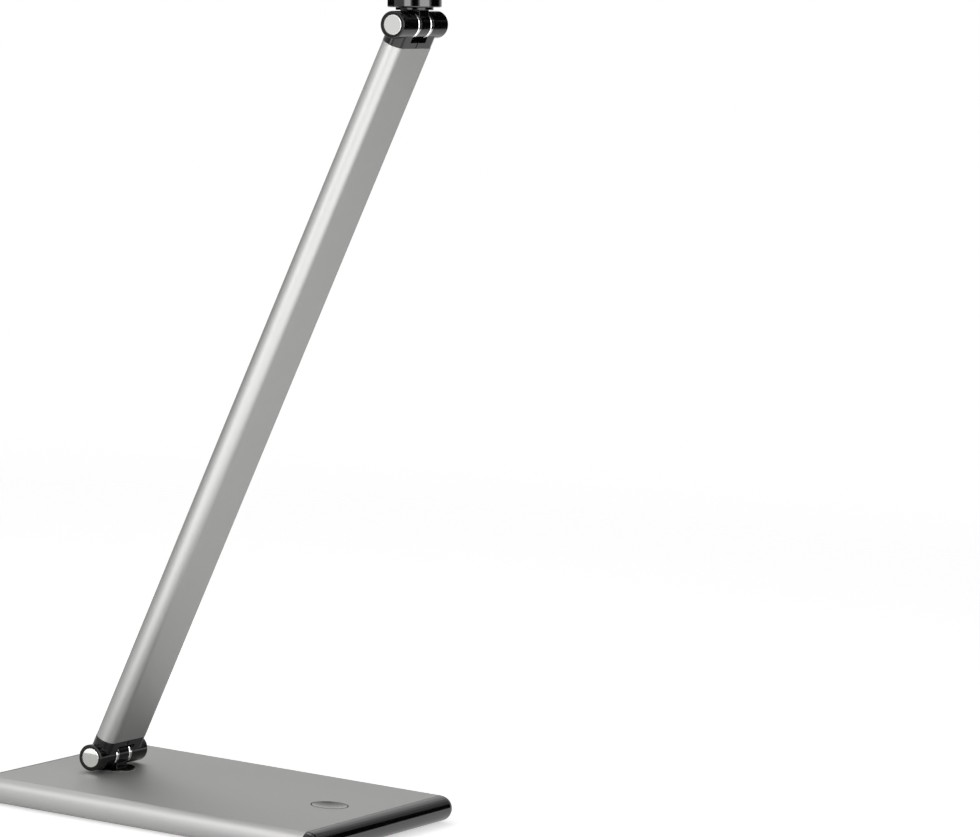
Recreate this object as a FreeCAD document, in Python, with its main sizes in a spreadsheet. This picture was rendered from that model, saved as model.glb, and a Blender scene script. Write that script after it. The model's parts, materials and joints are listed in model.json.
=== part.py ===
"""Desk lamp with a flat extruded base, one flat arm on two barrel hinges and a swivelling light bar.

Millimetres.  +X points from the arm's foot towards the fingertip dish, +Y lies along the hinge
pins, +Z is up.  The origin is the middle of the underside of the anti-slip pad.
"""
import FreeCAD, Part
import math
import os
import re
import Sketcher

Vector = FreeCAD.Vector
Rotation = FreeCAD.Rotation
PARTS_FOLDER = "parts"
SAME = 1e-4  # lengths closer than this, in millimetres, count as equal

# ---------------------------------------------------------------- driving sizes
SIZES = [
    # base: an aluminium profile closed by two moulded caps
    ("base_length", 228, "aluminium profile between the two caps"),
    ("base_width", 172, "over the two rounded long edges"),
    ("base_thick", 16, "height of the profile"),
    ("base_wall", 2, "wall of the profile"),
    ("rib_high", 1, "ribs that hold the ballast down"),
    ("rib_wide", 2, "width of one rib"),
    ("inner_rib_y", 28, "inner pair of ribs, from the middle"),
    ("outer_rib_gap", 24, "outer pair of ribs to the base's long edge"),
    ("cap_wall", 3, "wall of a base cap"),
    ("plug_depth", 7, "how far a cap reaches into its profile"),
    ("plug_wall", 1.5, "wall of the part that reaches in"),
    ("sheet_thick", 1, "anti-slip pad"),
    ("sheet_end_gap", 16, "anti-slip pad to the end of the profile"),
    ("sheet_side_gap", 15, "anti-slip pad to the base's long edge"),
    ("sheet_corner", 10, "corner radius of the anti-slip pad"),
    # clearances
    ("running_gap", 0.05, "radial gap of a turning fit"),
    ("slip_gap", 0.1, "gap of a fit that is pushed together by hand"),
    # ballast
    ("ballast_margin", 1, "ballast to the cap's inner end"),
    ("rear_pocket_half", 46, "half width of the pocket round the swivel nut"),
    ("pocket_ahead", 22, "pocket edge ahead of the swivel axis"),
    ("front_notch_half", 21, "half width of the notch for the touch sensor"),
    ("notch_behind", 20, "notch edge behind the middle of the dish"),
    ("ballast_corner", 4, "corner radius of the ballast plate"),
    ("screw_radius", 2, "ballast screw shank"),
    ("screw_head_radius", 3.6, "ballast screw head"),
    ("screw_head_high", 1.1, "ballast screw head"),
    ("screw_reach", 8, "ballast screw shank length"),
    ("screw_end_gap", 26, "ballast screws to the end of the profile"),
    ("screw_side_gap", 20, "ballast screws to the base's long edge"),
    # driver and inlet
    ("tray_end_gap", 34, "middle of the driver tray to the profile's rear end"),
    ("tray_length", 46, "driver tray, along the base"),
    ("tray_width", 27, "driver tray, across the base"),
    ("tray_high", 7, "driver tray wall height"),
    ("tray_wall", 1.2, "driver tray wall and floor"),
    ("tray_post", 2.4, "height of the posts under the driver board"),
    ("post_side", 4, "side of one square post"),
    ("board_thick", 1.6, "printed circuit boards"),
    ("inlet_y", 30, "low-voltage inlet and driver, from the middle"),
    ("inlet_radius", 4, "outside of the inlet's barrel"),
    ("inlet_bore", 2.8, "plug bore radius of the inlet"),
    ("inlet_pin", 1.05, "centre pin radius"),
    ("inlet_lip", 2, "cap wall left in front of the inlet"),
    ("inlet_barrel", 11, "length of the inlet's barrel"),
    ("inlet_block", 5, "length of the block behind the barrel"),
    ("inlet_mouth", 3.3, "opening radius in the cap"),
    ("inlet_floor", 1.5, "back wall of the plug bore"),
    ("pin_setback", 1.5, "centre pin behind the inlet's face"),
    # fingertip dish
    ("dish_end_gap", 32.5, "middle of the fingertip dish to the profile's front end"),
    ("dish_ring_radius", 11.5, "outside of the dish's dark ring"),
    ("dish_ring_wide", 0.55, "width of the ring that shows"),
    ("dish_depth", 1.3, "hollow of the dish at its middle"),
    ("dish_thick", 2.6, "dish at its rim"),
    ("dish_lip", 1.6, "inward lip under the dish"),
    ("dish_lip_thick", 0.8, "inward lip under the dish"),
    ("dish_flange", 2.2, "outward flange under the base wall"),
    ("sensor_side", 27, "side of the touch sensor board"),
    ("sensor_chip", 7, "side of the sensor's chip"),
    ("sensor_chip_high", 1.2, "height of the sensor's chip"),
    ("contact_radius", 7, "conductive foam disc under the dish"),
    # lower hinge and base swivel
    ("hinge_end_gap", 38, "swivel axis to the profile's rear end"),
    ("hinge_rise", 9.4, "lower hinge pin above the base"),
    ("barrel_radius", 8.2, "barrels of both hinges"),
    ("barrel_span", 52.6, "over the two outer barrels"),
    ("knuckle_wide", 11, "middle knuckle, along the pin"),
    ("neck_half", 6.6, "half depth of the neck under the knuckle"),
    ("ring_wide", 3.3, "bright ring between knuckle and barrel"),
    ("ring_radius", 8.3, "outside of the bright rings"),
    ("ring_bevel", 0.6, "bevel on both rims of a bright ring"),
    ("barrel_bevel", 0.5, "bevel on the rim of each barrel"),
    ("foot_flange_radius", 14, "round flange on the base"),
    ("foot_flange_thick", 0.8, "round flange on the base"),
    ("slide_thick", 0.5, "slide disc let into the base under the flange"),
    ("spigot_radius", 6, "threaded spigot of both swivels"),
    ("spigot_spare", 0.5, "spigot past its nut"),
    ("lead_bore", 2.6, "radius of the wiring bore in spigots and fittings"),
    ("lead_radius", 2.3, "two-core lead in the arm"),
    ("thrust_radius", 11, "thrust washer under a swivel wall"),
    ("thrust_thick", 1, "thrust washer"),
    ("dished_high", 1.6, "dished spring washer, height"),
    ("dished_thick", 0.7, "dished spring washer, thickness"),
    ("swivel_nut_radius", 9.8, "swivel nut over its corners"),
    ("swivel_nut_high", 6, "swivel nut"),
    # hinge pin and what is threaded on it
    ("pin_radius", 3, "shank of the hinge bolt"),
    ("head_radius", 5, "head of the hinge bolt"),
    ("head_high", 6, "head of the hinge bolt"),
    ("socket_across", 2.9, "corner radius of the bolt's hexagon socket"),
    ("socket_deep", 3, "depth of the bolt's hexagon socket"),
    ("well_radius", 5.6, "pocket for bolt head and nut in a barrel"),
    ("well_deep", 9, "length of that pocket"),
    ("disc_radius", 6, "bright disc in the end of a barrel"),
    ("disc_thick", 1.2, "bright disc"),
    ("disc_inset", 0.4, "bright disc behind the barrel's rim"),
    ("spring_radius", 5.3, "disc springs on the hinge bolt"),
    ("spring_thick", 0.5, "one disc spring"),
    ("spring_cone", 0.35, "dish of one disc spring"),
    ("hinge_nut_radius", 5.4, "hinge nut over its corners"),
    ("hinge_nut_high", 4.5, "hinge nut"),
    # arm
    ("arm_reach", 500, "hinge pin to hinge pin"),
    ("arm_lean", 21.52, "degrees forward of upright, as photographed"),
    ("arm_width", 45, "wide side of the arm profile"),
    ("arm_thick", 13.6, "narrow side of the arm profile"),
    ("arm_wall", 1.6, "wall of the arm profile"),
    ("collar_rise", 12.4, "hinge pin to the end of the aluminium"),
    ("notch_rise", 8.7, "hinge pin to the floor of the fitting's notch"),
    ("slit_wide", 1, "wiring slit in the collar"),
    ("slit_deep", 2.2, "wiring slit in the collar"),
    ("tongue_length", 26, "fitting's tongue inside the arm"),
    ("tongue_slot_half", 9, "half width of the slot between the tongue's prongs"),
    ("tongue_root", 6, "solid root of the tongue"),
    # elbow and head swivel
    ("head_lean", -4, "degrees about the hinge pin, tipped back as photographed"),
    ("elbow_rise", 10.2, "upper hinge pin to the underside of the housing"),
    ("elbow_flange_radius", 11.3, "flange under the housing"),
    ("elbow_flange_thick", 1.6, "flange under the housing"),
    ("housing_radius", 16.2, "gloss swivel housing"),
    ("housing_high", 38, "gloss swivel housing"),
    ("housing_wall", 2.8, "wall of the housing"),
    ("housing_floor", 3, "floor of the housing"),
    ("housing_edge", 0.8, "rounded lower rim of the housing"),
    ("boss_circle", 11, "screw bosses, from the housing's axis"),
    ("boss_radius", 2.9, "screw boss"),
    ("boss_drop", 14, "depth of a screw boss"),
    ("boss_hole", 1.3, "screw boss"),
    # light bar
    ("head_length", 306, "aluminium profile between its caps"),
    ("head_back", 26, "profile behind the swivel axis"),
    ("head_width", 64, "light bar over its rounded edges"),
    ("head_thick", 14, "light bar"),
    ("head_wall", 1.8, "wall of the light bar"),
    ("head_cap_wall", 2.6, "wall of a light bar cap"),
    ("window_start", 28, "light window, ahead of the swivel axis"),
    ("window_end_gap", 12, "light window to the profile's front end"),
    ("window_width", 44, "light window"),
    ("window_ledge", 2, "diffuser past the window on each side"),
    ("diffuser_flange", 1.2, "diffuser edge on the bar's inside"),
    ("strip_width", 16, "light strip's board"),
    ("chip_long", 3.5, "one light-emitting chip"),
    ("chip_wide", 2.8, "one light-emitting chip"),
    ("chip_high", 0.7, "one light-emitting chip"),
    ("chip_count", 30, "chips on the strip"),
    ("reflector_thick", 0.6, "folded reflector"),
    ("reflector_top", 9, "half width of the reflector's flat"),
    ("reflector_slot", 3, "half width of its slot for the chips"),
    ("bar_screw_radius", 1.25, "screws between bar and housing"),
    ("bar_screw_head", 2.6, "screws between bar and housing"),
    ("bar_screw_high", 1.6, "head height of those screws"),
    ("bar_screw_reach", 10, "shank length of those screws"),
]

# ---------------------------------------------------------------- sizes that follow
FOLLOWING = [
    ("base_low", "sheet_thick"),
    ("base_top", "base_low + base_thick"),
    ("base_mid", "base_low + base_thick / 2"),
    ("base_end", "base_length / 2"),
    ("hinge_x", "hinge_end_gap - base_end"),
    ("dish_x", "base_end - dish_end_gap"),
    ("tray_x", "tray_end_gap - base_end"),
    ("screw_x", "base_end - screw_end_gap"),
    ("screw_y", "base_width / 2 - screw_side_gap"),
    ("outer_rib_y", "base_width / 2 - outer_rib_gap"),
    ("sheet_length", "base_length - 2 * sheet_end_gap"),
    ("sheet_width", "base_width - 2 * sheet_side_gap"),
    ("base_floor", "base_low + base_wall"),
    ("base_ceiling", "base_top - base_wall"),
    ("ballast_thick", "base_thick - 2 * base_wall - rib_high"),
    ("ballast_end", "base_end - plug_depth - ballast_margin"),
    ("ballast_half", "base_width / 2 - base_thick / 2"),
    ("axis_z", "base_top + hinge_rise"),
    ("ring_out", "knuckle_wide / 2 + ring_wide"),
    ("barrel_end", "barrel_span / 2"),
    ("disc_seat", "barrel_end - disc_inset - disc_thick"),
    ("well_seat", "disc_seat - well_deep"),
    ("pin_fit", "pin_radius + running_gap"),
    ("spigot_fit", "spigot_radius + running_gap"),
    ("spring_stack", "2 * (spring_thick + spring_cone)"),
    ("swivel_stack", "thrust_thick + dished_high + swivel_nut_high + spigot_spare"),
    ("elbow_x", "hinge_x + arm_reach * sin(arm_lean)"),
    ("elbow_z", "axis_z + arm_reach * cos(arm_lean)"),
    ("housing_top", "elbow_rise + housing_high"),
    ("bar_mid", "housing_top + head_thick / 2"),
    ("bar_floor", "housing_top + head_wall"),
    ("bar_ceiling", "housing_top + head_thick - head_wall"),
    ("window_length", "head_length - head_back - window_start - window_end_gap"),
    ("chip_pitch", "window_length / chip_count"),
    ("dish_floor", "base_top - dish_thick"),
    ("sensor_top", "dish_floor - dish_lip_thick"),
    ("dish_rim_radius", "dish_ring_radius - dish_ring_wide"),
]

doc = FreeCAD.newDocument("DeskLamp")
sheet = doc.addObject("Spreadsheet::Sheet", "Sizes")
finished = []


def fill_sheet():
    """One row for each size: its name, its value or formula, and what it measures."""
    row = 0
    for alias, amount, meaning in SIZES:
        row += 1
        sheet.set("A%d" % row, alias)
        sheet.set("B%d" % row, str(amount))
        sheet.set("C%d" % row, meaning)
        sheet.setAlias("B%d" % row, alias)
    for alias, formula in FOLLOWING:
        row += 1
        sheet.set("A%d" % row, alias)
        sheet.set("B%d" % row, "=" + formula)
        sheet.setAlias("B%d" % row, alias)
    doc.recompute()


def full(expression):
    """The expression with each of the sheet's names pointing at the sheet."""
    return re.sub(r"\b([a-z]+(?:_[a-z]+)+)\b", r"Sizes.\1", expression)


def bind(thing, prop, expression):
    thing.setExpression(prop, full(expression))


def number(expression):
    """What the expression comes to at present, for a sketch's first shape."""
    return float(counter.evalExpression(full(expression)))


# ---------------------------------------------------------------- bodies and sketches
def place(thing, x, y, z, axis=None, angle="0"):
    """Puts a sub-part in the lamp; it keeps to its place when the sheet changes."""
    if axis is not None:
        thing.Placement = FreeCAD.Placement(Vector(0, 0, 0), Rotation(axis, 1))
        bind(thing, "Placement.Rotation.Angle", angle)
    bind(thing, "Placement.Base.x", x)
    bind(thing, "Placement.Base.y", y)
    bind(thing, "Placement.Base.z", z)


def new_body(name, x="0", y="0", z="0", axis=None, angle="0"):
    body = doc.addObject("PartDesign::Body", "Body_" + name)
    body.Label = name
    place(body, x, y, z, axis, angle)
    finished.append(body)
    return body


def origin_plane(body, role):
    return [item for item in body.Origin.OriginFeatures if item.Role == role][0]


def sketch_on(body, role, offset="0"):
    """An empty sketch on one of the body's own planes, moved along that plane's normal."""
    sketch = body.newObject("Sketcher::SketchObject", body.Label + "_sketch")
    sketch.AttachmentSupport = [(origin_plane(body, role), "")]
    sketch.MapMode = "FlatFace"
    bind(sketch, "AttachmentOffset.Base.z", offset)
    return sketch


def hold(sketch, kind, *where, size):
    """Adds one dimension and ties it to the sheet."""
    index = sketch.addConstraint(Sketcher.Constraint(kind, *where, number(size)))
    bind(sketch, "Constraints[%d]" % index, size)


def hold_point(sketch, geometry, point, x, y):
    hold(sketch, "DistanceX", -1, 1, geometry, point, size=x)
    hold(sketch, "DistanceY", -1, 1, geometry, point, size=y)


def circle(sketch, x, y, radius):
    round_line = Part.Circle(Vector(number(x), number(y), 0), Vector(0, 0, 1), number(radius))
    index = sketch.addGeometry(round_line, False)
    hold_point(sketch, index, 3, x, y)
    hold(sketch, "Radius", index, size=radius)


def straight_line(sketch, start, end):
    return sketch.addGeometry(Part.LineSegment(start, end), False)


def polygon(sketch, corners):
    """Straight lines from corner to corner and back to the first."""
    points = [Vector(number(x), number(y), 0) for x, y in corners]
    count = len(points)
    lines = []
    for corner in range(count):
        lines.append(straight_line(sketch, points[corner], points[(corner + 1) % count]))
    for corner in range(count):
        following = lines[(corner + 1) % count]
        sketch.addConstraint(Sketcher.Constraint("Coincident", lines[corner], 2, following, 1))
    for line, (x, y) in zip(lines, corners):
        hold_point(sketch, line, 1, x, y)


def rectangle(sketch, left, right, low, high):
    polygon(sketch, [(left, low), (right, low), (right, high), (left, high)])


def arc(sketch, centre, radius, start, end):
    """An arc with its angles in quarter turns, counter-clockwise from the sketch's X axis."""
    quarter = math.pi / 2
    middle = Vector(number(centre[0]), number(centre[1]), 0)
    whole = Part.Circle(middle, Vector(0, 0, 1), number(radius))
    index = sketch.addGeometry(Part.ArcOfCircle(whole, start * quarter, end * quarter), False)
    hold_point(sketch, index, 3, centre[0], centre[1])
    hold(sketch, "Radius", index, size=radius)
    return index


def join_tangent(sketch, first, first_end, second, second_end):
    sketch.addConstraint(Sketcher.Constraint("Tangent", first, first_end, second, second_end))


def stadium(sketch, x, y, wide, high, upright=False):
    """A bar with two full half-round ends; upright turns its long side along the sketch's Y."""
    thin = wide if upright else high
    long_side = high if upright else wide
    radius = "(%s) / 2" % thin
    shift = "((%s) - (%s)) / 2" % (long_side, thin)
    far = (x, "%s + %s" % (y, shift)) if upright else ("%s + %s" % (x, shift), y)
    near = (x, "%s - %s" % (y, shift)) if upright else ("%s - %s" % (x, shift), y)
    turn = 1 if upright else 0
    first = arc(sketch, far, radius, turn - 1, turn + 1)
    second = arc(sketch, near, radius, turn + 1, turn + 3)
    upper = straight_line(sketch, sketch.getPoint(first, 2), sketch.getPoint(second, 1))
    lower = straight_line(sketch, sketch.getPoint(second, 2), sketch.getPoint(first, 1))
    join_tangent(sketch, first, 2, upper, 1)
    join_tangent(sketch, upper, 2, second, 1)
    join_tangent(sketch, second, 2, lower, 1)
    join_tangent(sketch, lower, 2, first, 1)


def capsule(sketch, half, radius):
    """Half of a round-ended bar beside the sketch's Y axis, to be turned about that axis."""
    straight = "%s - %s" % (half, radius)
    upper = arc(sketch, ("0", straight), radius, 0, 1)
    lower = arc(sketch, ("0", "-(%s)" % straight), radius, 3, 4)
    side = straight_line(sketch, sketch.getPoint(lower, 2), sketch.getPoint(upper, 1))
    back = straight_line(sketch, sketch.getPoint(upper, 2), sketch.getPoint(lower, 1))
    join_tangent(sketch, lower, 2, side, 1)
    join_tangent(sketch, side, 2, upper, 1)
    sketch.addConstraint(Sketcher.Constraint("Coincident", upper, 2, back, 1))
    sketch.addConstraint(Sketcher.Constraint("Coincident", back, 2, lower, 1))
    hold(sketch, "DistanceX", -1, 1, back, 1, size="0")
    hold(sketch, "DistanceX", -1, 1, back, 2, size="0")


# ---------------------------------------------------------------- features
def pad(body, sketch, length, both=False, back=False):
    feature = body.newObject("PartDesign::Pad", body.Label + "_pad")
    feature.Profile = sketch
    feature.Midplane = both
    feature.Reversed = back
    bind(feature, "Length", length)
    doc.recompute()
    return feature


def pocket(body, sketch, depth, both=False, back=False):
    """Cuts against the sketch's normal, or along it with back, and insists that it cuts."""
    before = body.Shape.Volume
    feature = body.newObject("PartDesign::Pocket", body.Label + "_pocket")
    feature.Profile = sketch
    feature.Midplane = both
    feature.Reversed = back
    bind(feature, "Length", depth)
    doc.recompute()
    insist_cut(body, before)
    return feature


def turn(body, sketch, angle=360, cut=False):
    """Turns the sketch about its own upright axis, to add a solid or to cut one away."""
    before = body.Shape.Volume if cut else 0
    kind = "PartDesign::Groove" if cut else "PartDesign::Revolution"
    feature = body.newObject(kind, body.Label + "_turned")
    feature.Profile = sketch
    feature.ReferenceAxis = (sketch, ["V_Axis"])
    feature.Angle = angle
    feature.Midplane = angle < 360
    doc.recompute()
    if cut:
        insist_cut(body, before)
    return feature


def insist_cut(body, before):
    if body.Shape.Volume > before - SAME:
        raise RuntimeError(body.Label + ": a cut removed nothing")


def mirrored(body, feature, role):
    """The same feature again on the other side of one of the body's planes."""
    copy = body.newObject("PartDesign::Mirrored", body.Label + "_mirrored")
    copy.Originals = [feature]
    copy.MirrorPlane = (origin_plane(body, role), [""])
    body.Tip = copy
    doc.recompute()
    return copy


def round_edges(body, radius, test, bevel=False):
    """Fillets or bevels the edges of the body's last feature that pass the test."""
    base = body.Tip
    names = ["Edge%d" % index for index, edge in enumerate(base.Shape.Edges, 1) if test(edge)]
    kind = "PartDesign::Chamfer" if bevel else "PartDesign::Fillet"
    feature = body.newObject(kind, body.Label + "_edge")
    feature.Base = (base, names)
    bind(feature, "Size" if bevel else "Radius", radius)
    doc.recompute()
    return feature


def is_circle_at(edge, radius, axis, offset):
    """True for a full circle of this radius whose centre lies this far along the axis."""
    if not isinstance(edge.Curve, Part.Circle):
        return False
    centre = edge.Curve.Center
    along = {"x": centre.x, "y": centre.y, "z": centre.z}[axis]
    return abs(edge.Curve.Radius - radius) < SAME and abs(abs(along) - offset) < SAME


def is_upright_at(edge, far_x, far_y):
    """True for an upright edge on one of the four corners this far from the middle."""
    middle = edge.CenterOfMass
    upright = edge.BoundBox.XLength < SAME and edge.BoundBox.YLength < SAME
    return upright and abs(abs(middle.x) - far_x) < SAME and abs(abs(middle.y) - far_y) < SAME


def turned_body(name, profile, upright=True, **where):
    """A turned piece: profile corners are (radius, distance along the axis).

    The axis is the lamp's Z, or its Y where upright is False.
    """
    body = new_body(name, **where)
    sketch = sketch_on(body, "XZ_Plane" if upright else "XY_Plane")
    polygon(sketch, profile)
    turn(body, sketch)
    return body


def tube_profile(inner, outer, low, high):
    return [(inner, low), (outer, low), (outer, high), (inner, high)]


# ---------------------------------------------------------------- base
def make_base_profile():
    """Extruded aluminium slab: hollow, both long edges full half-rounds, ribs over the ballast.

    The ribs are milled away at both ends, where the caps plug in.
    """
    body = new_body("base_profile")
    section = sketch_on(body, "YZ_Plane")
    stadium(section, "0", "base_mid", "base_width", "base_thick")
    stadium(section, "0", "base_mid", "base_width - 2 * base_wall", "base_thick - 2 * base_wall")
    pad(body, section, "base_length", both=True)
    ribs = sketch_on(body, "YZ_Plane")
    for middle in ("inner_rib_y", "outer_rib_y", "-inner_rib_y", "-outer_rib_y"):
        rectangle(ribs, middle + " - rib_wide / 2", middle + " + rib_wide / 2",
                  "base_ceiling - rib_high", "base_ceiling + base_wall / 4")
    pad(body, ribs, "base_length - 2 * (plug_depth + slip_gap)", both=True)
    recess = sketch_on(body, "XY_Plane", "base_top")
    circle(recess, "hinge_x", "0", "foot_flange_radius + slip_gap")
    pocket(body, recess, "slide_thick")
    bores = sketch_on(body, "XY_Plane", "base_top")
    circle(bores, "hinge_x", "0", "spigot_fit")
    circle(bores, "dish_x", "0", "dish_ring_radius + slip_gap / 2")
    pocket(body, bores, "base_wall")
    heads = sketch_on(body, "XY_Plane", "base_low")
    shanks = sketch_on(body, "XY_Plane", "base_low")
    for x in ("screw_x", "-screw_x"):
        for y in ("screw_y", "-screw_y"):
            circle(heads, x, y, "screw_head_radius + slip_gap")
            circle(shanks, x, y, "screw_radius + slip_gap")
    pocket(body, heads, "screw_head_high", back=True)
    pocket(body, shanks, "base_wall", back=True)


def make_end_cap(name, width, thick, profile_wall, wall, middle, end, lean="0", rear=False, inlet=False):
    """Moulded cap: half a round-ended bar outside, a hollow plug that fits into the profile.

    The cap is drawn with its nose towards +X.  rear turns it half round about an axis that
    leans half as far as the profile does, so that it faces the other way along the profile.
    """
    body = new_body(name, x=end, z=middle, axis=Vector(0, 1, 0), angle=lean)
    if rear:
        body.Placement.Rotation = Rotation(Vector(0, 0, 1), 180)
        bind(body, "Placement.Rotation.Angle", "180")
        bind(body, "Placement.Rotation.Axis.x", "sin((%s) / 2)" % lean)
        bind(body, "Placement.Rotation.Axis.z", "cos((%s) / 2)" % lean)
    outer = sketch_on(body, "XY_Plane")
    capsule(outer, width + " / 2", thick + " / 2")
    turn(body, outer, 180)
    hollow = sketch_on(body, "XY_Plane")
    capsule(hollow, "(%s / 2 - %s)" % (width, wall), "(%s / 2 - %s)" % (thick, wall))
    turn(body, hollow, 180, cut=True)
    plug = sketch_on(body, "YZ_Plane")
    plug_fit = "2 * (%s + slip_gap)" % profile_wall
    plug_wide = "(%s - %s)" % (width, plug_fit)
    plug_high = "(%s - %s)" % (thick, plug_fit)
    stadium(plug, "0", "0", plug_wide, plug_high)
    stadium(plug, "0", "0", plug_wide + " - 2 * plug_wall", plug_high + " - 2 * plug_wall")
    pad(body, plug, "plug_depth", back=True)
    if inlet:
        nose = thick + " / 2"
        block = sketch_on(body, "YZ_Plane")
        rectangle(block, "-inlet_y - inlet_radius - plug_wall", "-inlet_y + inlet_radius + plug_wall",
                  "-(%s)" % (nose + " - " + wall), nose + " - " + wall)
        pad(body, block, nose + " - inlet_lip / 2")
        mouth = sketch_on(body, "YZ_Plane", nose)
        circle(mouth, "-inlet_y", "0", "inlet_mouth")
        pocket(body, mouth, nose)
        well = sketch_on(body, "YZ_Plane", nose + " - inlet_lip")
        circle(well, "-inlet_y", "0", "inlet_radius + slip_gap")
        pocket(body, well, nose)
    return body


def make_ballast():
    """Steel plate with a pocket round the swivel nut and driver and a notch for the sensor."""
    body = new_body("ballast_plate", z="base_floor")
    outline = sketch_on(body, "XY_Plane")
    polygon(outline, [
        ("-ballast_end", "-ballast_half"),
        ("ballast_end", "-ballast_half"),
        ("ballast_end", "-front_notch_half"),
        ("dish_x - notch_behind", "-front_notch_half"),
        ("dish_x - notch_behind", "front_notch_half"),
        ("ballast_end", "front_notch_half"),
        ("ballast_end", "ballast_half"),
        ("-ballast_end", "ballast_half"),
        ("-ballast_end", "rear_pocket_half"),
        ("hinge_x + pocket_ahead", "rear_pocket_half"),
        ("hinge_x + pocket_ahead", "-rear_pocket_half"),
        ("-ballast_end", "-rear_pocket_half"),
    ])
    pad(body, outline, "ballast_thick")
    holes = sketch_on(body, "XY_Plane")
    for x in ("screw_x", "-screw_x"):
        for y in ("screw_y", "-screw_y"):
            circle(holes, x, y, "screw_radius + running_gap")
    pocket(body, holes, "ballast_thick", back=True)
    far_x = number("ballast_end")
    far_y = number("ballast_half")
    round_edges(body, "ballast_corner", lambda edge: is_upright_at(edge, far_x, far_y))


def make_ballast_screws():
    """Four low-head screws that hold the ballast on the floor of the profile."""
    body = new_body("ballast_screws", z="base_low")
    heads = sketch_on(body, "XY_Plane")
    shanks = sketch_on(body, "XY_Plane")
    sockets = sketch_on(body, "XY_Plane")
    for x in ("screw_x", "-screw_x"):
        for y in ("screw_y", "-screw_y"):
            circle(heads, x, y, "screw_head_radius")
            circle(shanks, x, y, "screw_radius")
            circle(sockets, x, y, "screw_radius / 2")
    pad(body, heads, "screw_head_high")
    pad(body, shanks, "screw_reach")
    pocket(body, sockets, "screw_head_high / 2", back=True)


def make_anti_slip_pad():
    body = new_body("base_pad")
    outline = sketch_on(body, "XY_Plane")
    rectangle(outline, "-sheet_length / 2", "sheet_length / 2", "-sheet_width / 2", "sheet_width / 2")
    pad(body, outline, "sheet_thick")
    far_x = number("sheet_length / 2")
    far_y = number("sheet_width / 2")
    round_edges(body, "sheet_corner", lambda edge: is_upright_at(edge, far_x, far_y))


def make_driver():
    """Tray on the floor of the base, the driver board on its posts, and the inlet behind it."""
    tray = new_body("driver_tray", x="tray_x", y="inlet_y", z="base_floor")
    half_x = "tray_length / 2"
    half_y = "tray_width / 2"
    outline = sketch_on(tray, "XY_Plane")
    rectangle(outline, "-" + half_x, half_x, "-" + half_y, half_y)
    pad(tray, outline, "tray_high")
    inside = sketch_on(tray, "XY_Plane", "tray_high")
    rectangle(inside, "-(%s - tray_wall)" % half_x, half_x + " - tray_wall",
              "-(%s - tray_wall)" % half_y, half_y + " - tray_wall")
    pocket(tray, inside, "tray_high - tray_wall")
    posts = sketch_on(tray, "XY_Plane")
    for x in ("-(%s - post_side)" % half_x, half_x + " - post_side"):
        for y in ("-(%s - post_side)" % half_y, half_y + " - post_side"):
            rectangle(posts, x + " - post_side / 2", x + " + post_side / 2",
                      y + " - post_side / 2", y + " + post_side / 2")
    pad(tray, posts, "tray_wall + tray_post")
    board = new_body("driver_board", x="tray_x", y="inlet_y",
                     z="base_floor + tray_wall + tray_post")
    edge_x = "(tray_length / 2 - tray_wall - slip_gap)"
    edge_y = "(tray_width / 2 - tray_wall - slip_gap)"
    outline = sketch_on(board, "XY_Plane")
    rectangle(outline, "-" + edge_x, edge_x, "-" + edge_y, edge_y)
    pad(board, outline, "board_thick")
    coil = sketch_on(board, "XY_Plane")
    circle(coil, "-tray_length / 5", "0", "tray_width / 5")
    circle(coil, "tray_length / 5", "tray_width / 5", "tray_width / 9")
    pad(board, coil, "board_thick + tray_high / 2")
    chips = sketch_on(board, "XY_Plane")
    rectangle(chips, "tray_length / 10", "tray_length / 3", "-tray_width / 4", "-tray_width / 12")
    pad(board, chips, "board_thick + tray_wall")


def make_inlet():
    """Barrel inlet in the rear cap: bore for the plug and a centre pin set back in it."""
    face = "base_end + base_thick / 2 - inlet_lip"
    body = new_body("power_inlet", x="-(%s)" % face, y="inlet_y", z="base_mid")
    barrel = sketch_on(body, "YZ_Plane")
    circle(barrel, "0", "0", "inlet_radius")
    pad(body, barrel, "inlet_barrel")
    block = sketch_on(body, "YZ_Plane", "inlet_barrel")
    rectangle(block, "-inlet_radius", "inlet_radius", "-inlet_radius", "inlet_radius")
    pad(body, block, "inlet_block")
    bore = sketch_on(body, "YZ_Plane")
    circle(bore, "0", "0", "inlet_bore")
    pocket(body, bore, "inlet_barrel - inlet_floor", back=True)
    pin = sketch_on(body, "YZ_Plane", "pin_setback")
    circle(pin, "0", "0", "inlet_pin")
    pad(body, pin, "inlet_barrel - pin_setback")


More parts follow.
